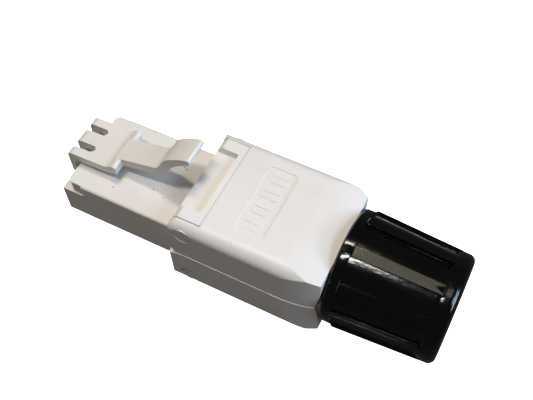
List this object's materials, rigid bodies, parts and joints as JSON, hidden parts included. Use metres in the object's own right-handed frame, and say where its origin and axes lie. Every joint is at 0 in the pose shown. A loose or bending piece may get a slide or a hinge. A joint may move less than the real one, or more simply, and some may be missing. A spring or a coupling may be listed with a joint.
{
  "type": "field termination ethernet plug",
  "caption": "White modular plug with a sprung latch, two hinged half covers over the wire blocks and a ribbed black clamp nut for the cable.",
  "frame": {"origin": "on the cable axis in the front mating face of the nose", "axes": "+X from the mating face to the nut along the cable axis, +Z towards the latch, +Y across the plug"},
  "size_m": [0.0496, 0.0148, 0.0181],
  "materials": {
    "white_body": "moulded white plastic, fine satin",
    "white_cover": "moulded white plastic, fine satin",
    "white_entry": "moulded natural plastic",
    "block_plastic": "moulded light grey plastic",
    "contact_metal": "gold plated",
    "terminal_metal": "tin plated",
    "board": "green solder mask",
    "seal_rubber": "soft black rubber",
    "black_nut": "glossy black plastic"
  },
  "bodies": {
    "plug": {"plug_body": "white_body", "contact_1": "contact_metal", "contact_2": "contact_metal", "contact_3": "contact_metal", "contact_4": "contact_metal", "contact_5": "contact_metal", "contact_6": "contact_metal", "contact_7": "contact_metal", "contact_8": "contact_metal", "circuit_board": "board", "wire_block_top": "block_plastic", "wire_block_bottom": "block_plastic", "terminal_1": "terminal_metal", "terminal_2": "terminal_metal", "terminal_3": "terminal_metal", "terminal_4": "terminal_metal", "terminal_5": "terminal_metal", "terminal_6": "terminal_metal", "terminal_7": "terminal_metal", "terminal_8": "terminal_metal", "cable_entry": "white_entry", "cable_seal": "seal_rubber"},
    "latch_arm": {"latch": "white_body"},
    "upper_cover": {"top_cover": "white_cover", "presser_top": "block_plastic"},
    "lower_cover": {"bottom_cover": "white_cover", "presser_bottom": "block_plastic"},
    "ring_slider": {"clamp_ring": "white_entry"},
    "nut": {"clamp_nut": "black_nut"}
  },
  "joints": [
    {"name": "latch_press", "type": "hinge", "parent": "plug", "child": "latch_arm", "pos_m": [0.00055, 0, 0.00045], "axis": [0, 1, 0], "range_deg": [0, 11], "stiffness_Nm_per_rad": 0.05},
    {"name": "upper_cover_hinge", "type": "hinge", "parent": "plug", "child": "upper_cover", "pos_m": [0.01835, 0, 0.0044], "axis": [0, -1, 0], "range_deg": [0, 40]},
    {"name": "lower_cover_hinge", "type": "hinge", "parent": "plug", "child": "lower_cover", "pos_m": [0.01835, 0, -0.0044], "axis": [0, 1, 0], "range_deg": [0, 75]},
    {"name": "nut_travel", "type": "slide", "parent": "plug", "child": "ring_slider", "axis": [1, 0, 0], "range_m": [0, 0.00375]},
    {"name": "nut_turn", "type": "hinge", "parent": "ring_slider", "child": "nut", "pos_m": [0.0462, 0, 0], "axis": [1, 0, 0], "range_deg": [0, 1081]}
  ],
  "couplings": [
    {"joint": "nut_turn", "follows": "nut_travel", "rad_per_m": 5026.5}
  ]
}
